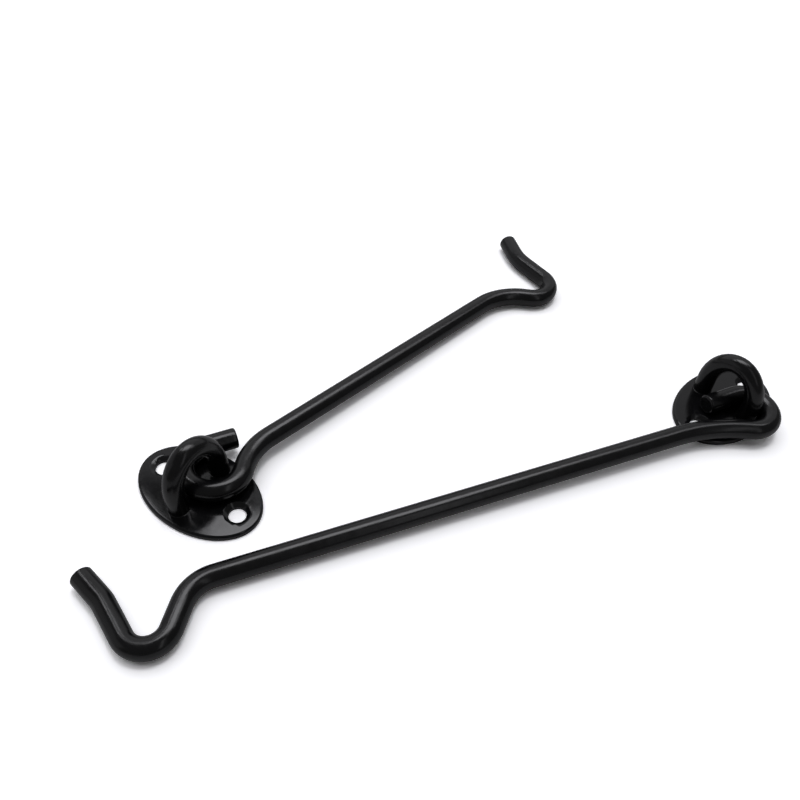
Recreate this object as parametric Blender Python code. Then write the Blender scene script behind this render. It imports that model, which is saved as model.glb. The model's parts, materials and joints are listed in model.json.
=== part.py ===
"""A set of two hook and eye latches of one pattern, 200 mm and 150 mm long.

Each latch has three pieces. An oval base plate takes two countersunk screws. A
round bar bent to an arch, the staple, stands across the plate with both feet
riveted through it. A round bar bent in one plane, the hook rod, has an open eye
at one end, which is closed round one leg of the staple, and a crook at the other
end, which drops into a second staple.

The frame has +Z up, out of the plates. The origin is the centre of the long
latch's plate, on its underside, and the long hook rod lies along -X from there.
Lengths are in metres and angles in degrees. Inside each latch the plate's long
axis is its local X, and the staple spans its local Y.
"""

import math

import bmesh
import bpy
from mathutils import Euler, Vector

MM = 0.001

# Oval base plate, the same on both latches
PLATE_LENGTH = 37.6 * MM
PLATE_WIDTH = 24.9 * MM
PLATE_THICKNESS = 1.8 * MM
PLATE_TOP_ROUND = 0.7 * MM
PLATE_FOOT_BEVEL = 0.2 * MM

# Countersunk holes for wood screws, on the plate's long axis
SCREW_SPACING = 25.8 * MM
SCREW_HOLE_DIAMETER = 4.8 * MM
COUNTERSINK_DIAMETER = 7.4 * MM
COUNTERSINK_DEPTH = 1.0 * MM

# Staple: the arch of round bar that stands across the plate. Each one leans a little
# along the plate's long axis and sways a little along its own span.
STAPLE_BAR_DIAMETER = 5.5 * MM
STAPLE_SPAN = 15.4 * MM
STAPLE_LEG_HEIGHT = 4.8 * MM
STAPLE_CROWN_RISE = 10.6 * MM
STAPLE_FOOT_BEVEL = 0.3 * MM
LONG_STAPLE_LEAN = -0.8
LONG_STAPLE_SWAY = 1.3
SHORT_STAPLE_LEAN = -3.0
SHORT_STAPLE_SWAY = -2.4

# Rivet that the foot of each leg is turned down to
RIVET_DIAMETER = 3.4 * MM
RIVET_HEAD_DIAMETER = 5.0 * MM
RIVET_HEAD_HEIGHT = 0.7 * MM
RIVET_HEAD_RECESS = 0.1 * MM

# Clearances
RIVET_CLEARANCE = 0.3 * MM
SHOULDER_CLEARANCE = 0.3 * MM
EYE_SEAT_CLEARANCE = 0.5 * MM
CROOK_FLOOR_CLEARANCE = 0.15 * MM

# Round bar of both hook rods
ROD_DIAMETER = 5.7 * MM
ROD_END_BEVEL = 0.5 * MM

# Long hook rod, eye end. The drop is the distance from the line of the shank to
# the eye's centre. The play and the side play are how far the eye's centre lies
# from the axis of its staple leg, along the shank and towards the rod's side.
LONG_EYE_RADIUS = 6.9 * MM
LONG_EYE_DROP = 1.0 * MM
LONG_EYE_PLAY = 0.9 * MM
LONG_EYE_SIDE_PLAY = 0.2 * MM
LONG_NECK_RADIUS = 52.6 * MM
LONG_TAIL_LENGTH = 9.8 * MM
LONG_TAIL_TURN = 2.6

# Long hook rod, shank and crook
LONG_REACH = 159.2 * MM
LONG_ELBOW_ANGLE = 57.8
LONG_ELBOW_RADIUS = 10.0 * MM
LONG_HEEL_LENGTH = 6.6 * MM
LONG_CROOK_ANGLE = 133.3
LONG_CROOK_RADIUS = 6.0 * MM
LONG_FINGER_LENGTH = 9.9 * MM
LONG_TIP_ANGLE = 10.8
LONG_TIP_RADIUS = 12.9 * MM
LONG_TIP_LENGTH = 8.1 * MM

# Short hook rod, eye end
SHORT_EYE_RADIUS = 7.7 * MM
SHORT_EYE_DROP = 1.0 * MM
SHORT_EYE_PLAY = -1.6 * MM
SHORT_EYE_SIDE_PLAY = 0.8 * MM
SHORT_NECK_RADIUS = 18.2 * MM
SHORT_TAIL_LENGTH = 8.3 * MM
SHORT_TAIL_TURN = 19.2

# Short hook rod, shank and crook
SHORT_REACH = 104.9 * MM
SHORT_ELBOW_ANGLE = 49.7
SHORT_ELBOW_RADIUS = 18.9 * MM
SHORT_HEEL_LENGTH = 1.6 * MM
SHORT_CROOK_ANGLE = 133.9
SHORT_CROOK_RADIUS = 6.7 * MM
SHORT_FINGER_LENGTH = 9.1 * MM
SHORT_TIP_ANGLE = 23.4
SHORT_TIP_RADIUS = 17.4 * MM
SHORT_TIP_LENGTH = 6.8 * MM

# How the two latches lie. A plate's turn and a rod's heading are counted from +X.
# The side is the one that the neck and the crook swell to, seen along the rod:
# 1 is left and -1 is right. The leg says which staple leg the eye goes round.
LONG_PLATE_TURN = 19.4
LONG_HEADING = 180.0
LONG_SIDE = 1
LONG_LEG = -1
SHORT_PLATE_X = -155.4 * MM
SHORT_PLATE_Y = 19.0 * MM
SHORT_PLATE_TURN = -55.0
SHORT_HEADING = 22.6
SHORT_SIDE = -1
SHORT_LEG = 1

# Facets
BAR_SIDES = 20
BEND_STEP = 7.5
PLATE_SIDES = 72
HOLE_SIDES = 32
ROUND_STEPS = 4
SMOOTH_ANGLE = 35.0

# How far a cutter runs past the face that it opens
CUTTER_OVERRUN = 1.0 * MM

BLACK_PAINT = (0.012, 0.012, 0.013, 1.0)
PAINT_ROUGHNESS = 0.22


def clear_scene():
    """Remove every object of the scene that the script starts in."""
    for item in list(bpy.data.objects):
        bpy.data.objects.remove(item, do_unlink=True)


def black_paint(name):
    """Glossy black paint over steel."""
    paint = bpy.data.materials.new(name)
    paint.use_nodes = True
    shader = paint.node_tree.nodes["Principled BSDF"]
    shader.inputs["Base Color"].default_value = BLACK_PAINT
    shader.inputs["Roughness"].default_value = PAINT_ROUGHNESS
    shader.inputs["Metallic"].default_value = 0.0
    shader.inputs["Coat Weight"].default_value = 0.5
    return paint


def add_object(name, shape, parent=None):
    """Turn a bmesh into a smooth shaded object under its parent."""
    mesh = bpy.data.meshes.new(name)
    bmesh.ops.recalc_face_normals(shape, faces=shape.faces)
    shape.to_mesh(mesh)
    shape.free()
    mesh.shade_smooth()
    mesh.set_sharp_from_angle(angle=math.radians(SMOOTH_ANGLE))
    item = bpy.data.objects.new(name, mesh)
    item.parent = parent
    bpy.context.scene.collection.objects.link(item)
    return item


def skin_rings(shape, rings):
    """Join rings of points with quads, and close the first and the last one."""
    loops = [[shape.verts.new(point) for point in ring] for ring in rings]
    for lower, upper in zip(loops, loops[1:]):
        count = len(lower)
        for here in range(count):
            ahead = (here + 1) % count
            shape.faces.new((lower[here], lower[ahead], upper[ahead], upper[here]))
    shape.faces.new(loops[0][::-1])
    shape.faces.new(loops[-1])


def ellipse_ring(half_length, half_width, height, sides):
    """Points round an ellipse that lies level."""
    angles = [2.0 * math.pi * step / sides for step in range(sides)]
    return [Vector((half_length * math.cos(a), half_width * math.sin(a), height)) for a in angles]


def add_turned(shape, profile, centre):
    """Add a body turned about a vertical line, from a profile of radius and height."""
    rings = []
    for radius, height in profile:
        ring = ellipse_ring(radius, radius, height, HOLE_SIDES)
        rings.append([point + centre for point in ring])
    skin_rings(shape, rings)


def plate_profile():
    """The plate's edge as insets and heights, from the underside to the top."""
    profile = [(PLATE_FOOT_BEVEL, 0.0), (0.0, PLATE_FOOT_BEVEL)]
    for step in range(ROUND_STEPS + 1):
        angle = math.radians(90.0) * step / ROUND_STEPS
        inset = PLATE_TOP_ROUND * (1.0 - math.cos(angle))
        height = PLATE_THICKNESS - PLATE_TOP_ROUND * (1.0 - math.sin(angle))
        profile.append((inset, height))
    return profile


def plate_holes(name, latch):
    """One cutter for the two screw holes and the two rivet holes of a plate."""
    shape = bmesh.new()
    below = -CUTTER_OVERRUN
    above = PLATE_THICKNESS + CUTTER_OVERRUN
    screw_radius = SCREW_HOLE_DIAMETER / 2
    countersink_radius = COUNTERSINK_DIAMETER / 2
    screw_profile = [
        (screw_radius, below),
        (screw_radius, PLATE_THICKNESS - COUNTERSINK_DEPTH),
        (countersink_radius, PLATE_THICKNESS),
        (countersink_radius, above),
    ]
    rivet_radius = RIVET_DIAMETER / 2 + RIVET_CLEARANCE
    head_radius = RIVET_HEAD_DIAMETER / 2 + RIVET_CLEARANCE
    head_top = RIVET_HEAD_RECESS + RIVET_HEAD_HEIGHT
    rivet_profile = [
        (head_radius, below),
        (head_radius, RIVET_HEAD_RECESS),
        (rivet_radius, head_top),
        (rivet_radius, above),
    ]
    for side in (-1, 1):
        add_turned(shape, screw_profile, Vector((side * SCREW_SPACING / 2, 0.0, 0.0)))
        add_turned(shape, rivet_profile, Vector((0.0, side * STAPLE_SPAN / 2, 0.0)))
    cutter = add_object(name, shape, latch)
    cutter.hide_render = True
    cutter.display_type = "WIRE"
    return cutter


def base_plate(name, latch):
    """Oval plate with a rounded top edge, two screw holes and two rivet holes."""
    shape = bmesh.new()
    rings = []
    for inset, height in plate_profile():
        half_length = PLATE_LENGTH / 2 - inset
        half_width = PLATE_WIDTH / 2 - inset
        rings.append(ellipse_ring(half_length, half_width, height, PLATE_SIDES))
    skin_rings(shape, rings)
    plate = add_object(name, shape, latch)
    plate.data.materials.append(black_paint(name))
    holes = plate.modifiers.new("holes", "BOOLEAN")
    holes.operation = "DIFFERENCE"
    holes.solver = "EXACT"
    holes.object = plate_holes(name + "_holes", latch)
    return plate


def swept_bar(stations, plane_normal):
    """Round bar along stations of point, direction and radius, which lie in one plane."""
    shape = bmesh.new()
    rings = []
    for point, direction, radius in stations:
        across = plane_normal.cross(direction).normalized()
        ring = []
        for step in range(BAR_SIDES):
            angle = 2.0 * math.pi * step / BAR_SIDES
            ring.append(point + radius * (math.cos(angle) * across + math.sin(angle) * plane_normal))
        rings.append(ring)
    skin_rings(shape, rings)
    return shape


def staple_foot_stations():
    """Heights and radii up one foot: rivet head, rivet, shoulder, full bar."""
    bar_radius = STAPLE_BAR_DIAMETER / 2
    rivet_radius = RIVET_DIAMETER / 2
    shoulder = PLATE_THICKNESS + SHOULDER_CLEARANCE
    return [
        (RIVET_HEAD_RECESS, RIVET_HEAD_DIAMETER / 2),
        (RIVET_HEAD_RECESS + RIVET_HEAD_HEIGHT, rivet_radius),
        (shoulder, rivet_radius),
        (shoulder, bar_radius - STAPLE_FOOT_BEVEL),
        (shoulder + STAPLE_FOOT_BEVEL, bar_radius),
    ]


def leaned(point, lean, sway):
    """A point of a staple, shifted for the staple's lean and sway above the plate."""
    rise = max(0.0, point.z - PLATE_THICKNESS)
    along = rise * math.tan(math.radians(lean))
    across = rise * math.tan(math.radians(sway))
    return point + Vector((along, across, 0.0))


def staple(name, latch, lean, sway):
    """Arch of round bar across the plate, with a rivet turned on each foot."""
    half_span = STAPLE_SPAN / 2
    spring_height = PLATE_THICKNESS + STAPLE_LEG_HEIGHT
    up = Vector((0.0, 0.0, 1.0))
    stations = []
    for height, radius in staple_foot_stations():
        stations.append((Vector((0.0, -half_span, height)), up, radius))
    steps = math.ceil(180.0 / BEND_STEP)
    for step in range(steps + 1):
        angle = math.pi * step / steps
        point = Vector((0.0, -half_span * math.cos(angle), spring_height + STAPLE_CROWN_RISE * math.sin(angle)))
        direction = Vector((0.0, half_span * math.sin(angle), STAPLE_CROWN_RISE * math.cos(angle)))
        stations.append((point, direction.normalized(), STAPLE_BAR_DIAMETER / 2))
    for height, radius in reversed(staple_foot_stations()):
        stations.append((Vector((0.0, half_span, height)), -up, radius))
    shape = swept_bar(stations, Vector((1.0, 0.0, 0.0)))
    for vert in shape.verts:
        vert.co = leaned(vert.co, lean, sway)
    arch = add_object(name, shape, latch)
    arch.data.materials.append(black_paint(name))
    return arch


def straight(length):
    """A straight run of bar."""
    return length, 0.0, 0.0


def bend(angle, radius):
    """A bend of bar by an angle in radians, positive to the left."""
    return 0.0, angle, radius


def follow(moves, start, heading):
    """Follow straight runs and bends from a start point, and return points with headings."""
    point = start.copy()
    path = [(point.copy(), heading)]
    for length, angle, radius in moves:
        if angle == 0.0:
            point += length * Vector((math.cos(heading), math.sin(heading)))
            path.append((point.copy(), heading))
            continue
        turn = math.copysign(1.0, angle)
        centre = point + turn * radius * Vector((-math.sin(heading), math.cos(heading)))
        steps = math.ceil(abs(math.degrees(angle)) / BEND_STEP)
        for step in range(1, steps + 1):
            ahead = heading + angle * step / steps
            point = centre + turn * radius * Vector((math.sin(ahead), -math.cos(ahead)))
            path.append((point.copy(), ahead))
        heading += angle
    return path


def eye_path(radius, drop, centre, neck_radius, tail_length, tail_turn, reach):
    """Path of the eye end and the shank, from the cut end of the tail.

    The eye's arc and the neck's arc touch each other, and the neck runs out tangent
    to the shank, so the neck's angle follows from the two radii and the drop.
    """
    neck_angle = math.acos((neck_radius + drop) / (neck_radius + radius))
    tail_start = radius * Vector((math.sin(tail_turn), -math.cos(tail_turn)))
    tail_end = tail_length * Vector((math.cos(tail_turn), math.sin(tail_turn)))
    shank_length = reach - (neck_radius + radius) * math.sin(neck_angle)
    moves = [
        straight(tail_length),
        bend(-(math.pi + neck_angle + tail_turn), radius),
        bend(neck_angle, neck_radius),
        straight(shank_length),
    ]
    return follow(moves, centre + tail_start + tail_end, math.pi + tail_turn)


def crook_path(start, elbow, heel_length, crook, finger_length, tip, tip_length):
    """Path of the crook end, from the end of the shank to the cut end of the tip."""
    moves = [
        bend(*elbow),
        straight(heel_length),
        bend(-crook[0], crook[1]),
        straight(finger_length),
        bend(*tip),
        straight(tip_length),
    ]
    return follow(moves, start, 0.0)


def settle_angle(path, reach, eye_height):
    """How far the rod dips from its eye until its crook almost meets the floor."""
    rest_height = ROD_DIAMETER / 2 + CROOK_FLOOR_CLEARANCE
    crook_points = [point for point, heading in path if point.x > reach]
    furthest = max(point.x for point in crook_points)
    return math.asin((eye_height - rest_height) / furthest)


def rod_stations(path, side):
    """Stations of the rod, with both cut ends bevelled, and the rod turned to its side."""
    radius = ROD_DIAMETER / 2
    stations = []
    for point, heading in path:
        place = Vector((point.x, side * point.y, 0.0))
        direction = Vector((math.cos(heading), side * math.sin(heading), 0.0))
        stations.append((place, direction, radius))
    first_place, first_direction, radius = stations[0]
    last_place, last_direction, radius = stations[-1]
    stations[0] = (first_place + ROD_END_BEVEL * first_direction, first_direction, radius)
    stations[-1] = (last_place - ROD_END_BEVEL * last_direction, last_direction, radius)
    stations.insert(0, (first_place, first_direction, radius - ROD_END_BEVEL))
    stations.append((last_place, last_direction, radius - ROD_END_BEVEL))
    return stations


def hook_rod(name, latch, path, side, reach, axis_point, heading):
    """Hook rod, hung with its origin on the axis of the staple leg inside its eye."""
    rod = add_object(name, swept_bar(rod_stations(path, side), Vector((0.0, 0.0, 1.0))), latch)
    rod.data.materials.append(black_paint(name))
    rod.location = axis_point
    dip = settle_angle(path, reach, axis_point.z)
    rod.rotation_euler = Euler((0.0, dip, math.radians(heading)))
    return rod


def leg_axis_point(leg, lean, sway):
    """Centre of a staple leg at the height of the eye that goes round it."""
    eye_height = PLATE_THICKNESS + ROD_DIAMETER / 2 + EYE_SEAT_CLEARANCE
    return leaned(Vector((0.0, leg * STAPLE_SPAN / 2, eye_height)), lean, sway)


def latch_frame(name, place, turn):
    """Empty at the centre of a plate's underside, which carries the latch."""
    frame = bpy.data.objects.new(name, None)
    frame.location = place
    frame.rotation_euler = (0.0, 0.0, math.radians(turn))
    bpy.context.scene.collection.objects.link(frame)
    return frame


def long_latch():
    """The 200 mm latch."""
    latch = latch_frame("long_latch", (0.0, 0.0, 0.0), LONG_PLATE_TURN)
    base_plate("long_base_plate", latch)
    staple("long_staple", latch, LONG_STAPLE_LEAN, LONG_STAPLE_SWAY)
    path = eye_path(
        LONG_EYE_RADIUS,
        LONG_EYE_DROP,
        Vector((LONG_EYE_PLAY, LONG_EYE_SIDE_PLAY)),
        LONG_NECK_RADIUS,
        LONG_TAIL_LENGTH,
        math.radians(LONG_TAIL_TURN),
        LONG_REACH,
    )
    path += crook_path(
        path[-1][0],
        (math.radians(LONG_ELBOW_ANGLE), LONG_ELBOW_RADIUS),
        LONG_HEEL_LENGTH,
        (math.radians(LONG_CROOK_ANGLE), LONG_CROOK_RADIUS),
        LONG_FINGER_LENGTH,
        (math.radians(LONG_TIP_ANGLE), LONG_TIP_RADIUS),
        LONG_TIP_LENGTH,
    )[1:]
    axis_point = leg_axis_point(LONG_LEG, LONG_STAPLE_LEAN, LONG_STAPLE_SWAY)
    heading = LONG_HEADING - LONG_PLATE_TURN
    hook_rod("long_hook_rod", latch, path, LONG_SIDE, LONG_REACH, axis_point, heading)


def short_latch():
    """The 150 mm latch."""
    latch = latch_frame("short_latch", (SHORT_PLATE_X, SHORT_PLATE_Y, 0.0), SHORT_PLATE_TURN)
    base_plate("short_base_plate", latch)
    staple("short_staple", latch, SHORT_STAPLE_LEAN, SHORT_STAPLE_SWAY)
    path = eye_path(
        SHORT_EYE_RADIUS,
        SHORT_EYE_DROP,
        Vector((SHORT_EYE_PLAY, SHORT_EYE_SIDE_PLAY)),
        SHORT_NECK_RADIUS,
        SHORT_TAIL_LENGTH,
        math.radians(SHORT_TAIL_TURN),
        SHORT_REACH,
    )
    path += crook_path(
        path[-1][0],
        (math.radians(SHORT_ELBOW_ANGLE), SHORT_ELBOW_RADIUS),
        SHORT_HEEL_LENGTH,
        (math.radians(SHORT_CROOK_ANGLE), SHORT_CROOK_RADIUS),
        SHORT_FINGER_LENGTH,
        (math.radians(SHORT_TIP_ANGLE), SHORT_TIP_RADIUS),
        SHORT_TIP_LENGTH,
    )[1:]
    axis_point = leg_axis_point(SHORT_LEG, SHORT_STAPLE_LEAN, SHORT_STAPLE_SWAY)
    heading = SHORT_HEADING - SHORT_PLATE_TURN
    hook_rod("short_hook_rod", latch, path, SHORT_SIDE, SHORT_REACH, axis_point, heading)


clear_scene()
long_latch()
short_latch()
bpy.context.view_layer.update()
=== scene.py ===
"""The looks of two hook and eye latches: fine bars and plates in gloss black paint.

Lengths are in metres and angles in degrees. The frame gives every place: the
plates stand where the CAD plates are, and each rod hangs on its own joint's axis.
"""

import json
import math

import bmesh
import bpy
from mathutils import Euler, Matrix, Vector


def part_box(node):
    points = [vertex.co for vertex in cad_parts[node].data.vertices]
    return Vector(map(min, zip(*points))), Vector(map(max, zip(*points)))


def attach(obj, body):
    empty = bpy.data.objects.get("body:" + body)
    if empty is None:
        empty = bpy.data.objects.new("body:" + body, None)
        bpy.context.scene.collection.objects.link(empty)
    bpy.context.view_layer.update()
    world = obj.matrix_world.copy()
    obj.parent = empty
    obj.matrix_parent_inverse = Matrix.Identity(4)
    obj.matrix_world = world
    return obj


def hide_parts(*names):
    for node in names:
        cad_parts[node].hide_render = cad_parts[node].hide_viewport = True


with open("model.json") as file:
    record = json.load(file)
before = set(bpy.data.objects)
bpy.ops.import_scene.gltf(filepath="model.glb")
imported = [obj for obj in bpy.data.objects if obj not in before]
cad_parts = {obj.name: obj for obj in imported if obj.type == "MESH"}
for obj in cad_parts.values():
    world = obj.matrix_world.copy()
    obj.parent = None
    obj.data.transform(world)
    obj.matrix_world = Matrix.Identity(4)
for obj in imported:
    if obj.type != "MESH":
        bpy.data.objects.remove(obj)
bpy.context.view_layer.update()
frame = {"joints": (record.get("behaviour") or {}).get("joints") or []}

MM = 0.001

# Camera, fitted to the photograph of 800 pixels. It looks along a heading counted
# clockwise from +Y, down by its pitch and tilted by its roll.
IMAGE_PIXELS = 800.0
FOCAL_PIXELS = 793.0
SENSOR_WIDTH = 36.0
CAMERA_HEIGHT = 175.48 * MM
CAMERA_X = -160.93 * MM
CAMERA_Y = -110.44 * MM
CAMERA_HEADING = 25.31
CAMERA_PITCH = 47.818
CAMERA_ROLL = 5.359
CLIP_START = 10.0 * MM

# Plate
PLATE_HALF_LENGTH = 18.8 * MM
PLATE_HALF_WIDTH = 12.45 * MM
PLATE_THICKNESS = 1.8 * MM
PLATE_TOP_ROUND = 0.75 * MM
PLATE_FOOT_ROUND = 0.2 * MM
PLATE_CROWN = 0.24 * MM
CROWN_POWER = 2.5
UNDERSIDE_SHARE = 0.5
SCREW_OFFSET = 12.9 * MM
SCREW_HOLE_RADIUS = 2.37 * MM
COUNTERSINK_RADIUS = 3.6 * MM
COUNTERSINK_DEPTH = 1.0 * MM
LIP_RADIUS = 0.25 * MM
CUTTER_REACH = 1.0 * MM

# Staple. The rivet's dome is given by heights and shares of the head's radius.
STAPLE_RADIUS = 2.75 * MM
STAPLE_HALF_SPAN = 7.7 * MM
STAPLE_SPRING_HEIGHT = 6.6 * MM
STAPLE_CROWN_RISE = 10.65 * MM
STAPLE_FILLET = 0.2 * MM
RIVET_RADIUS = 1.7 * MM
RIVET_HEAD_RADIUS = 2.75 * MM
RIVET_HEAD_HEIGHT = 0.75 * MM
RIVET_FIT = 0.03 * MM
RIVET_DOME = [(0.06 * MM, 0.55), (0.10 * MM, 0.85), (0.20 * MM, 1.0)]
FOOT_NECK_DEPTH = 0.30 * MM
FOOT_SKIRT_DEPTH = 0.05 * MM
LEG_STEPS = 4

# Rods
ROD_RADIUS = 2.85 * MM
ROD_END_ROUND = 0.55 * MM
ROD_END_RINGS = (0.25, 0.6, 0.85)
CROOK_FLOOR_CLEARANCE = 0.15 * MM

# How much a tight bend flattens the bar in its plane and spreads it out of plane,
# and over how many steps of its path this comes and goes
BEND_FLATTEN = 0.05
BEND_SPREAD = 0.03
ROD_EASE_STEPS = 4
STAPLE_EASE_STEPS = 5

# Each latch: plate turn, the staple's lean along the plate and sway along its span,
# the rod's heading from +X, the side that its bends swell to, the eye, the play of
# the eye's centre from the leg's axis, the reach and the bends as angle and radius.
LATCHES = {
    "long": {
        "plate_turn": 19.4,
        "staple_lean": -0.8,
        "staple_sway": 1.3,
        "heading": 180.0,
        "side": 1,
        "eye_radius": 6.88 * MM,
        "eye_drop": 0.96 * MM,
        "eye_play": (0.9 * MM, 0.22 * MM),
        "neck_radius": 52.6 * MM,
        "tail_length": 9.8 * MM,
        "tail_turn": 2.58,
        "reach": 159.21 * MM,
        "elbow": (57.84, 9.95 * MM),
        "heel_length": 6.64 * MM,
        "crook": (133.32, 5.97 * MM),
        "finger_length": 9.91 * MM,
        "tip": (10.82, 12.87 * MM),
        "tip_length": 8.11 * MM,
    },
    "short": {
        "plate_turn": -55.0,
        "staple_lean": -3.0,
        "staple_sway": -2.4,
        "heading": 22.63,
        "side": -1,
        "eye_radius": 7.72 * MM,
        "eye_drop": 1.03 * MM,
        "eye_play": (-1.57 * MM, 0.84 * MM),
        "neck_radius": 18.18 * MM,
        "tail_length": 8.32 * MM,
        "tail_turn": 19.19,
        "reach": 104.92 * MM,
        "elbow": (49.66, 18.93 * MM),
        "heel_length": 1.63 * MM,
        "crook": (133.87, 6.71 * MM),
        "finger_length": 9.13 * MM,
        "tip": (23.39, 17.41 * MM),
        "tip_length": 6.84 * MM,
    },
}

# Fineness of the meshes
BAR_SIDES = 64
BEND_STEP = 2.5
STRAIGHT_STEP = 1.5 * MM
ROUND_STEPS = 6
PLATE_SIDES = 192
PLATE_RINGS = 14
HOLE_SIDES = 64
SMOOTH_ANGLE = 32.0

# Paint: base shade, roughness, strength of the orange peel and of the broad waves
PAINTS = {
    "rod_paint": (0.0020, 0.20, 0.25, 0.10),
    "staple_paint": (0.0020, 0.20, 0.10, 0.05),
    "plate_paint": (0.0022, 0.12, 0.08, 0.04),
}
PAINT_IOR = 1.5
PAINT_BLUE = 1.12

# Unevenness of all paints: how much lighter and bluer its clouds are, how far the
# roughness varies, and the noises as scale and detail, then for clouds and shine
# the range that is stretched, and for peel and waves their depth
CLOUD_SHADE = 2.0
CLOUD_BLUE = 2.3
CLOUD_NOISE = (260.0, 4.0, 0.35, 0.75)
SHINE_RANGE = (0.8, 1.3)
SHINE_NOISE = (420.0, 3.0, 0.3, 0.7)
PEEL_NOISE = (2600.0, 2.0, 0.04 * MM)
WAVE_NOISE = (330.0, 1.0, 0.30 * MM)
NOISE_ROUGHNESS = 0.55

# Lamps: each one's radiance, its distance, its elevation from the camera's horizon
# over the zenith, its azimuth and shift to the camera's right, its width and depth,
# and the rays that see it. The strip, which only the gloss paint mirrors, stands a
# little behind the zenith and is weaker on its right. The key and the fill light
# the floor and cast the shadows. The back and right walls stand side by side behind
# the object. The front card is set out square to the long rod, not to the camera.
LAMPS = {
    "strip_left": (4.4, 1.0, 112.0, 0.0, -0.54, 0.18, 0.22, "glossy"),
    "strip_middle": (3.8, 1.0, 108.5, 0.0, 0.02, 0.64, 0.42, "glossy"),
    "strip_right": (1.9, 1.0, 112.0, 0.0, 0.54, 0.38, 0.26, "glossy"),
    "key": (16.0, 1.0, 98.0, 2.0, 0.0, 0.2, 0.2, "diffuse"),
    "fill": (1.6, 1.0, 100.0, -10.0, 0.0, 1.6, 1.0, "diffuse"),
    "back_wall": (0.48, 1.5, 146.0, 0.0, -0.62, 1.95, 1.2, "all"),
    "right_wall": (0.34, 1.5, 146.0, 0.0, 0.98, 1.25, 1.2, "all"),
    "left_wall": (0.20, 1.4, 90.0, -68.0, 0.0, 1.0, 2.0, "all"),
    "front_card": (0.62, 1.2, 46.0, 15.0, 0.0, 0.18, 1.2, "all"),
}
LAMP_COLOUR = (0.965, 0.965, 1.0)
SQUARE_TO_LONG_ROD = ("front_card",)
SCENE_CENTRE = Vector((-85.0 * MM, 20.0 * MM, 0.0))
WORLD_STRENGTH = 0.10

# Floor: its shade for the camera and in reflections, and the distances from the
# object between which it fades to plain white for the camera
FLOOR_SIZE = 6.0
FLOOR_SEEN = 1.3
FLOOR_IN_REFLECTIONS = 0.38
FADE_START = 0.30
FADE_END = 0.55


def new_material(name):
    """A new material with its nodes, its links and its shader."""
    material = bpy.data.materials.new(name)
    material.use_nodes = True
    nodes = material.node_tree.nodes
    return material, nodes, material.node_tree.links, nodes["Principled BSDF"]


def add_node(nodes, kind, **inputs):
    """Add a shader node and set the inputs that are given by name."""
    node = nodes.new(kind)
    for name, value in inputs.items():
        node.inputs[name.replace("_", " ")].default_value = value
    return node


def noise_ramp(nodes, links, coordinates, scale, detail, low, high, low_value, high_value):
    """Noise whose range from low to high is stretched over two values."""
    texture = add_node(nodes, "ShaderNodeTexNoise", Scale=scale, Detail=detail)
    texture.inputs["Roughness"].default_value = NOISE_ROUGHNESS
    links.new(coordinates, texture.inputs["Vector"])
    ramp = nodes.new("ShaderNodeMapRange")
    ramp.inputs["From Min"].default_value = low
    ramp.inputs["From Max"].default_value = high
    ramp.inputs["To Min"].default_value = low_value
    ramp.inputs["To Max"].default_value = high_value
    links.new(texture.outputs["Fac"], ramp.inputs["Value"])
    return ramp.outputs["Result"]


def noise_bump(nodes, links, coordinates, scale, detail, depth, strength):
    """Bump node that is driven by noise."""
    texture = add_node(nodes, "ShaderNodeTexNoise", Scale=scale, Detail=detail)
    links.new(coordinates, texture.inputs["Vector"])
    bump = add_node(nodes, "ShaderNodeBump", Strength=strength, Distance=depth)
    links.new(texture.outputs["Fac"], bump.inputs["Height"])
    return bump


def black_paint(name):
    """Gloss black paint: near black, slightly uneven in shine, with fine orange peel."""
    shade, roughness, peel, waviness = PAINTS[name]
    material, nodes, links, shader = new_material(name)
    coordinates = nodes.new("ShaderNodeTexCoord").outputs["Object"]
    colour = nodes.new("ShaderNodeMix")
    colour.data_type = "RGBA"
    cloud_shade = shade * CLOUD_SHADE
    colour.inputs[6].default_value = (shade, shade, shade * PAINT_BLUE, 1.0)
    colour.inputs[7].default_value = (cloud_shade, cloud_shade, shade * CLOUD_BLUE, 1.0)
    cloud = noise_ramp(nodes, links, coordinates, *CLOUD_NOISE, 0.0, 1.0)
    links.new(cloud, colour.inputs[0])
    links.new(colour.outputs[2], shader.inputs["Base Color"])
    smoothest, roughest = (roughness * share for share in SHINE_RANGE)
    shine = noise_ramp(nodes, links, coordinates, *SHINE_NOISE, smoothest, roughest)
    links.new(shine, shader.inputs["Roughness"])
    shader.inputs["IOR"].default_value = PAINT_IOR
    waves = noise_bump(nodes, links, coordinates, *WAVE_NOISE, waviness)
    orange_peel = noise_bump(nodes, links, coordinates, *PEEL_NOISE, peel)
    links.new(waves.outputs["Normal"], orange_peel.inputs["Normal"])
    links.new(orange_peel.outputs["Normal"], shader.inputs["Normal"])
    return material


def finish_mesh(name, shape):
    """Turn a bmesh into a smooth shaded object."""
    bmesh.ops.recalc_face_normals(shape, faces=shape.faces)
    mesh = bpy.data.meshes.new(name)
    shape.to_mesh(mesh)
    shape.free()
    mesh.shade_smooth()
    mesh.set_sharp_from_angle(angle=math.radians(SMOOTH_ANGLE))
    piece = bpy.data.objects.new(name, mesh)
    bpy.context.scene.collection.objects.link(piece)
    return piece


def skin_rings(shape, rings):
    """Join rings of points with quads, and close both ends with a face."""
    loops = [[shape.verts.new(point) for point in ring] for ring in rings]
    for lower, upper in zip(loops, loops[1:]):
        count = len(lower)
        for here in range(count):
            ahead = (here + 1) % count
            shape.faces.new((lower[here], lower[ahead], upper[ahead], upper[here]))
    shape.faces.new(loops[0][::-1])
    shape.faces.new(loops[-1])


def ellipse_ring(half_length, half_width, height, sides):
    """Points round an ellipse that lies level."""
    angles = [2.0 * math.pi * step / sides for step in range(sides)]
    return [Vector((half_length * math.cos(a), half_width * math.sin(a), height)) for a in angles]


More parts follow.
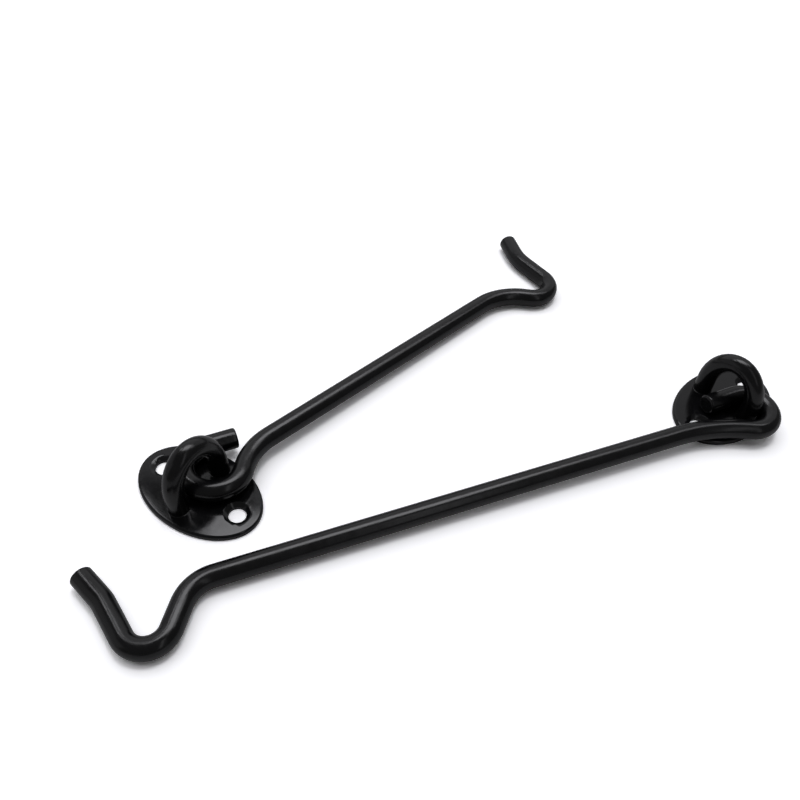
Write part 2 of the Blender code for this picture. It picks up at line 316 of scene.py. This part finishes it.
def follow(moves, start, heading):
    """Follow moves of length or of angle and radius; return points, headings and bends."""
    point = Vector(start)
    path = [(point.copy(), heading, 0.0)]
    for length, angle, radius in moves:
        if angle == 0.0:
            steps = max(1, math.ceil(length / STRAIGHT_STEP))
            for step in range(steps):
                point += length / steps * Vector((math.cos(heading), math.sin(heading)))
                path.append((point.copy(), heading, 0.0))
            continue
        turn = math.copysign(1.0, angle)
        centre = point + turn * radius * Vector((-math.sin(heading), math.cos(heading)))
        steps = math.ceil(abs(math.degrees(angle)) / BEND_STEP)
        for step in range(1, steps + 1):
            ahead = heading + angle * step / steps
            point = centre + turn * radius * Vector((math.sin(ahead), -math.cos(ahead)))
            path.append((point.copy(), ahead, turn / radius))
        heading += angle
    return path


def rod_path(latch):
    """Centreline of a rod from the cut end of its tail to the cut end of its tip."""
    radius, drop = latch["eye_radius"], latch["eye_drop"]
    neck_radius = latch["neck_radius"]
    tail_turn = math.radians(latch["tail_turn"])
    neck_angle = math.acos((neck_radius + drop) / (neck_radius + radius))
    shank = latch["reach"] - (neck_radius + radius) * math.sin(neck_angle)
    start = Vector(latch["eye_play"])
    start += radius * Vector((math.sin(tail_turn), -math.cos(tail_turn)))
    start += latch["tail_length"] * Vector((math.cos(tail_turn), math.sin(tail_turn)))
    elbow, crook, tip = latch["elbow"], latch["crook"], latch["tip"]
    moves = [
        (latch["tail_length"], 0.0, 0.0),
        (0.0, -(math.pi + neck_angle + tail_turn), radius),
        (0.0, neck_angle, neck_radius),
        (shank, 0.0, 0.0),
        (0.0, math.radians(elbow[0]), elbow[1]),
        (latch["heel_length"], 0.0, 0.0),
        (0.0, -math.radians(crook[0]), crook[1]),
        (latch["finger_length"], 0.0, 0.0),
        (0.0, math.radians(tip[0]), tip[1]),
        (latch["tip_length"], 0.0, 0.0),
    ]
    return follow(moves, start, math.pi + tail_turn)


def eased(values, reach):
    """Running mean of a list, so that a bend's flattening comes and goes gently."""
    count = len(values)
    means = []
    for here in range(count):
        window = values[max(0, here - reach):min(count, here + reach + 1)]
        means.append(sum(window) / len(window))
    return means


def bar_ring(point, direction, normal, radius, bend=0.0):
    """One ring of a bar, which a bend flattens in its plane and spreads out of it."""
    flatten = 1.0 - BEND_FLATTEN * bend * bend
    spread = 1.0 + BEND_SPREAD * bend * bend
    across = normal.cross(direction).normalized()
    ring = []
    for step in range(BAR_SIDES):
        angle = 2.0 * math.pi * step / BAR_SIDES
        in_plane = radius * flatten * math.cos(angle) * across
        out_of_plane = radius * spread * math.sin(angle) * normal
        ring.append(point + in_plane + out_of_plane)
    return ring


def rounded_end(point, direction, normal, radius):
    """Rings of a cut end, from its flat face out to the full bar."""
    flat_radius = radius - ROD_END_ROUND
    rings = []
    for share in ROD_END_RINGS:
        rings.append(bar_ring(point, direction, normal, flat_radius * share))
    for step in range(ROUND_STEPS + 1):
        angle = math.radians(90.0) * step / ROUND_STEPS
        inset = ROD_END_ROUND * (1.0 - math.sin(angle))
        along = ROD_END_ROUND * (1.0 - math.cos(angle))
        rings.append(bar_ring(point + along * direction, direction, normal, radius - inset))
    return rings


def turn_ring(ring):
    """The same ring, started where a ring seen along the bar starts and run its way."""
    count = len(ring)
    return [ring[-step % count] for step in range(count)]


def rod_mesh(name, latch):
    """Fine hook rod in its own frame, with the shank along +X from the hinge axis."""
    side = latch["side"]
    path = rod_path(latch)
    bends = eased([abs(bend) * ROD_RADIUS for point, heading, bend in path], ROD_EASE_STEPS)
    normal = Vector((0.0, 0.0, 1.0))
    places = []
    for point, heading, bend in path:
        place = Vector((point.x, side * point.y, 0.0))
        direction = Vector((math.cos(heading), side * math.sin(heading), 0.0))
        places.append((place, direction))
    tail_point, tail_direction = places[0]
    tip_point, tip_direction = places[-1]
    rings = rounded_end(tail_point, tail_direction, normal, ROD_RADIUS)
    for (place, direction), bend in list(zip(places, bends))[1:-1]:
        rings.append(bar_ring(place, direction, normal, ROD_RADIUS, bend))
    ending = rounded_end(tip_point, -tip_direction, -normal, ROD_RADIUS)
    rings += [turn_ring(ring) for ring in reversed(ending)]
    shape = bmesh.new()
    skin_rings(shape, rings)
    return finish_mesh(name, shape)


def dip_angle(path, reach, eye_height):
    """How far a rod dips from its eye until its crook almost meets the floor."""
    furthest = max(point.x for point, heading, bend in path if point.x > reach)
    return math.asin((eye_height - ROD_RADIUS - CROOK_FLOOR_CLEARANCE) / furthest)


def hook_rod(name, latch, joint, paint):
    """Fine rod, in place on the axis of its joint, riding on its own body."""
    rod = rod_mesh(name + "_bar", latch)
    axis_point = Vector(joint["pos_m"])
    dip = dip_angle(rod_path(latch), latch["reach"], axis_point.z)
    turn = Euler((0.0, dip, math.radians(latch["heading"]))).to_matrix().to_4x4()
    rod.data.transform(Matrix.Translation(axis_point) @ turn)
    rod.data.materials.append(paint)
    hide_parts(name)
    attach(rod, joint["child"])


def staple_stations():
    """Stations of the staple from one foot to the other: place, direction, radius, bend."""
    up = Vector((0.0, 0.0, 1.0))
    foot = [(height, RIVET_HEAD_RADIUS * share) for height, share in RIVET_DOME]
    foot.append((RIVET_HEAD_HEIGHT, RIVET_RADIUS))
    foot.append((PLATE_THICKNESS - FOOT_NECK_DEPTH, RIVET_RADIUS))
    foot.append((PLATE_THICKNESS - FOOT_SKIRT_DEPTH, STAPLE_RADIUS + STAPLE_FILLET))
    for step in range(ROUND_STEPS + 1):
        angle = math.radians(90.0) * step / ROUND_STEPS
        flare = STAPLE_FILLET * (1.0 - math.sin(angle))
        height = PLATE_THICKNESS + STAPLE_FILLET * (1.0 - math.cos(angle))
        foot.append((height, STAPLE_RADIUS + flare))
    stations = []
    for height, radius in foot:
        stations.append((Vector((0.0, -STAPLE_HALF_SPAN, height)), up, radius, 0.0))
    leg_top = PLATE_THICKNESS + STAPLE_FILLET
    for step in range(1, LEG_STEPS):
        height = leg_top + (STAPLE_SPRING_HEIGHT - leg_top) * step / LEG_STEPS
        stations.append((Vector((0.0, -STAPLE_HALF_SPAN, height)), up, STAPLE_RADIUS, 0.0))
    arch_steps = math.ceil(180.0 / BEND_STEP)
    bend = STAPLE_RADIUS / STAPLE_HALF_SPAN
    for step in range(arch_steps // 2 + 1):
        angle = math.pi * step / arch_steps
        y = -STAPLE_HALF_SPAN * math.cos(angle)
        z = STAPLE_SPRING_HEIGHT + STAPLE_CROWN_RISE * math.sin(angle)
        y_pace = STAPLE_HALF_SPAN * math.sin(angle)
        z_pace = STAPLE_CROWN_RISE * math.cos(angle)
        direction = Vector((0.0, y_pace, z_pace)).normalized()
        stations.append((Vector((0.0, y, z)), direction, STAPLE_RADIUS, bend))
    mirrored = []
    for place, direction, radius, bend in reversed(stations[:-1]):
        other_place = Vector((0.0, -place.y, place.z))
        other_direction = Vector((0.0, direction.y, -direction.z))
        mirrored.append((other_place, other_direction, radius, bend))
    return stations + mirrored


def lean_over(shape, lean, sway):
    """Lean a staple above the plate, along the plate's long axis and along its span."""
    for vert in shape.verts:
        rise = max(0.0, vert.co.z - PLATE_THICKNESS)
        vert.co.x += rise * math.tan(math.radians(lean))
        vert.co.y += rise * math.tan(math.radians(sway))


def staple(name, latch, centre, paint):
    """Fine staple: the arch, flared where paint gathers at its feet, and its rivets."""
    normal = Vector((1.0, 0.0, 0.0))
    stations = staple_stations()
    bends = eased([bend for place, direction, radius, bend in stations], STAPLE_EASE_STEPS)
    rings = []
    for (place, direction, radius, own_bend), bend in zip(stations, bends):
        rings.append(bar_ring(place, direction, normal, radius, bend))
    shape = bmesh.new()
    skin_rings(shape, rings)
    lean_over(shape, latch["staple_lean"], latch["staple_sway"])
    piece = finish_mesh(name + "_arch", shape)
    place_on_plate(piece, latch["plate_turn"], centre)
    piece.data.materials.append(paint)
    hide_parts(name)
    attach(piece, "plates")


def place_on_plate(piece, turn, centre):
    """Turn a piece made on a plate at the origin to its own plate's place."""
    turned = Matrix.Rotation(math.radians(turn), 4, "Z")
    piece.data.transform(Matrix.Translation(centre) @ turned)


def plate_top(share):
    """Height of the slightly crowned top at a share of the way from centre to rim."""
    return PLATE_THICKNESS - PLATE_CROWN * share ** CROWN_POWER


def rim_ring(inset, height):
    """Ring of the plate that lies inside its outline by an inset."""
    return ellipse_ring(PLATE_HALF_LENGTH - inset, PLATE_HALF_WIDTH - inset, height, PLATE_SIDES)


def plate_rings():
    """Rings of the plate: underside from its middle out, round the edge, and in again."""
    under_length = PLATE_HALF_LENGTH * UNDERSIDE_SHARE
    under_width = PLATE_HALF_WIDTH * UNDERSIDE_SHARE
    rings = [ellipse_ring(under_length, under_width, 0.0, PLATE_SIDES)]
    for step in range(ROUND_STEPS + 1):
        angle = math.radians(90.0) * step / ROUND_STEPS
        inset = PLATE_FOOT_ROUND * (1.0 - math.sin(angle))
        height = PLATE_FOOT_ROUND * (1.0 - math.cos(angle))
        rings.append(rim_ring(inset, height))
    rim_height = plate_top(1.0) - PLATE_TOP_ROUND
    for step in range(ROUND_STEPS + 1):
        angle = math.radians(90.0) * step / ROUND_STEPS
        inset = PLATE_TOP_ROUND * (1.0 - math.cos(angle))
        height = rim_height + PLATE_TOP_ROUND * math.sin(angle)
        rings.append(rim_ring(inset, height))
    top_length = PLATE_HALF_LENGTH - PLATE_TOP_ROUND
    top_width = PLATE_HALF_WIDTH - PLATE_TOP_ROUND
    for step in reversed(range(1, PLATE_RINGS)):
        share = step / PLATE_RINGS
        height = plate_top(share)
        rings.append(ellipse_ring(top_length * share, top_width * share, height, PLATE_SIDES))
    return rings


def add_turned(shape, profile, centre):
    """Add a body turned about a vertical line, from a profile of radius and height."""
    rings = []
    for radius, height in profile:
        rings.append([point + centre for point in ellipse_ring(radius, radius, height, HOLE_SIDES)])
    skin_rings(shape, rings)


def screw_hole_profile():
    """Profile of a screw hole's cutter: straight hole, cone, rounded lip."""
    cone_bottom = PLATE_THICKNESS - COUNTERSINK_DEPTH
    profile = [(SCREW_HOLE_RADIUS, -CUTTER_REACH), (SCREW_HOLE_RADIUS, cone_bottom)]
    slope = math.atan2(COUNTERSINK_DEPTH, COUNTERSINK_RADIUS - SCREW_HOLE_RADIUS)
    for step in range(ROUND_STEPS + 1):
        angle = slope * (1.0 - step / ROUND_STEPS)
        radius = COUNTERSINK_RADIUS + LIP_RADIUS * (math.tan(slope / 2) - math.sin(angle))
        height = PLATE_THICKNESS - LIP_RADIUS * (1.0 - math.cos(angle))
        profile.append((radius, height))
    profile.append((profile[-1][0], PLATE_THICKNESS + CUTTER_REACH))
    return profile


def rivet_hole_profile():
    """Profile of a rivet hole's cutter, which fits closely round the rivet."""
    head_radius = RIVET_HEAD_RADIUS + RIVET_FIT
    neck_radius = RIVET_RADIUS + RIVET_FIT
    dome_height = RIVET_DOME[-1][0]
    return [
        (head_radius, -CUTTER_REACH),
        (head_radius, dome_height),
        (neck_radius, RIVET_HEAD_HEIGHT + RIVET_FIT),
        (neck_radius, PLATE_THICKNESS + CUTTER_REACH),
    ]


def plate(name, turn, centre, paint):
    """Fine plate with soft edges, countersunk screw holes and close rivet holes."""
    shape = bmesh.new()
    skin_rings(shape, plate_rings())
    piece = finish_mesh(name + "_oval", shape)
    cutter_shape = bmesh.new()
    for side in (-1, 1):
        add_turned(cutter_shape, screw_hole_profile(), Vector((side * SCREW_OFFSET, 0.0, 0.0)))
        add_turned(cutter_shape, rivet_hole_profile(), Vector((0.0, side * STAPLE_HALF_SPAN, 0.0)))
    cutter = finish_mesh(name + "_cutter", cutter_shape)
    holes = piece.modifiers.new("holes", "BOOLEAN")
    holes.operation = "DIFFERENCE"
    holes.solver = "EXACT"
    holes.object = cutter
    shading = piece.modifiers.new("shading", "WEIGHTED_NORMAL")
    shading.keep_sharp = True
    bpy.context.view_layer.update()
    evaluated = piece.evaluated_get(bpy.context.evaluated_depsgraph_get())
    piece_mesh = bpy.data.meshes.new_from_object(evaluated)
    piece.modifiers.clear()
    piece.data = piece_mesh
    bpy.data.objects.remove(cutter)
    place_on_plate(piece, turn, centre)
    piece.data.materials.clear()
    piece.data.materials.append(paint)
    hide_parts(name)
    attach(piece, "plates")


def view_axes():
    """Forward, right and up of the camera as unit vectors."""
    heading = math.radians(CAMERA_HEADING)
    pitch = math.radians(CAMERA_PITCH)
    level = Vector((math.sin(heading), math.cos(heading), 0.0))
    forward = math.cos(pitch) * level - math.sin(pitch) * Vector((0.0, 0.0, 1.0))
    right = forward.cross(Vector((0.0, 0.0, 1.0))).normalized()
    up = right.cross(forward)
    return forward, right, up


def add_camera():
    """Camera at the photograph's place, with the photograph's tilt."""
    forward, right, up = view_axes()
    roll = math.radians(CAMERA_ROLL)
    right_axis = math.cos(roll) * right + math.sin(roll) * up
    up_axis = math.cos(roll) * up - math.sin(roll) * right
    lens = bpy.data.cameras.new("camera")
    lens.sensor_width = SENSOR_WIDTH
    lens.lens = FOCAL_PIXELS / IMAGE_PIXELS * SENSOR_WIDTH
    lens.clip_start = CLIP_START
    camera = bpy.data.objects.new("camera", lens)
    rotation = Matrix((right_axis, up_axis, -forward)).transposed().to_4x4()
    camera.matrix_world = Matrix.Translation((CAMERA_X, CAMERA_Y, CAMERA_HEIGHT)) @ rotation
    bpy.context.scene.collection.objects.link(camera)
    bpy.context.scene.camera = camera


def soft_box(name, radiance, distance, elevation, azimuth, shift, width, depth, seen_by):
    """Area light that faces the object and is seen by diffuse rays, glossy rays or all."""
    turn = 0.0 if name in SQUARE_TO_LONG_ROD else CAMERA_HEADING
    heading = math.radians(turn)
    back = Vector((math.sin(heading), math.cos(heading), 0.0))
    right = Vector((math.cos(heading), -math.sin(heading), 0.0))
    rise = math.radians(elevation)
    swing = math.radians(azimuth)
    outward = -math.cos(rise) * back + math.sin(rise) * Vector((0.0, 0.0, 1.0))
    direction = math.cos(swing) * outward + math.sin(swing) * right
    lamp = bpy.data.lights.new(name, "AREA")
    lamp.shape = "RECTANGLE"
    lamp.size = width
    lamp.size_y = depth
    lamp.energy = radiance * math.pi * width * depth
    lamp.color = LAMP_COLOUR
    box = bpy.data.objects.new(name, lamp)
    box.visible_diffuse = seen_by != "glossy"
    box.visible_glossy = seen_by != "diffuse"
    across = (right - right.dot(direction) * direction).normalized()
    along = direction.cross(across)
    rotation = Matrix((across, along, direction)).transposed().to_4x4()
    place = SCENE_CENTRE + distance * direction + shift * across
    box.matrix_world = Matrix.Translation(place) @ rotation
    bpy.context.scene.collection.objects.link(box)


def add_lights():
    """Strip, key and fill overhead, pale walls behind and on the left, card in front."""
    for name, lamp in LAMPS.items():
        soft_box(name, *lamp)


def add_floor():
    """Plain white floor that keeps the object's soft shadow and stays white far off."""
    shape = bmesh.new()
    bmesh.ops.create_grid(shape, x_segments=1, y_segments=1, size=FLOOR_SIZE / 2)
    floor = finish_mesh("floor", shape)
    floor.location = SCENE_CENTRE
    material, nodes, links, shader = new_material("floor_white")
    nodes.remove(shader)
    path = nodes.new("ShaderNodeLightPath")
    shade = nodes.new("ShaderNodeMapRange")
    shade.inputs["To Min"].default_value = FLOOR_IN_REFLECTIONS
    shade.inputs["To Max"].default_value = FLOOR_SEEN
    links.new(path.outputs["Is Camera Ray"], shade.inputs["Value"])
    white = nodes.new("ShaderNodeBsdfDiffuse")
    links.new(shade.outputs["Result"], white.inputs["Color"])
    distance = nodes.new("ShaderNodeVectorMath")
    distance.operation = "LENGTH"
    links.new(nodes.new("ShaderNodeTexCoord").outputs["Object"], distance.inputs[0])
    far = nodes.new("ShaderNodeMapRange")
    far.inputs["From Min"].default_value = FADE_START
    far.inputs["From Max"].default_value = FADE_END
    links.new(distance.outputs["Value"], far.inputs["Value"])
    seen_far = nodes.new("ShaderNodeMath")
    seen_far.operation = "MULTIPLY"
    links.new(far.outputs["Result"], seen_far.inputs[0])
    links.new(path.outputs["Is Camera Ray"], seen_far.inputs[1])
    fade = nodes.new("ShaderNodeMixShader")
    links.new(seen_far.outputs["Value"], fade.inputs["Fac"])
    links.new(white.outputs["BSDF"], fade.inputs[1])
    links.new(nodes.new("ShaderNodeEmission").outputs["Emission"], fade.inputs[2])
    links.new(fade.outputs["Shader"], nodes["Material Output"].inputs["Surface"])
    floor.data.materials.append(material)


def add_world():
    """Weak even light all round, white where the camera looks past the floor."""
    world = bpy.data.worlds.new("studio")
    world.use_nodes = True
    nodes, links = world.node_tree.nodes, world.node_tree.links
    background = nodes["Background"]
    background.inputs["Color"].default_value = (1.0, 1.0, 1.0, 1.0)
    path = nodes.new("ShaderNodeLightPath")
    strength = nodes.new("ShaderNodeMapRange")
    strength.inputs["To Min"].default_value = WORLD_STRENGTH
    strength.inputs["To Max"].default_value = 1.0
    links.new(path.outputs["Is Camera Ray"], strength.inputs["Value"])
    links.new(strength.outputs["Result"], background.inputs["Strength"])
    bpy.context.scene.world = world


def build_latches():
    """Dress both latches."""
    paints = {name: black_paint(name) for name in PAINTS}
    joints = {joint["child"]: joint for joint in frame["joints"]}
    for size, latch in LATCHES.items():
        low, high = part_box(size + "_base_plate")
        centre = Vector(((low.x + high.x) / 2, (low.y + high.y) / 2, 0.0))
        plate(size + "_base_plate", latch["plate_turn"], centre, paints["plate_paint"])
        staple(size + "_staple", latch, centre, paints["staple_paint"])
        hook_rod(size + "_hook_rod", latch, joints[size + "_hook"], paints["rod_paint"])


bpy.context.scene.view_settings.view_transform = "Standard"
add_camera()
add_world()
add_lights()
add_floor()
build_latches()
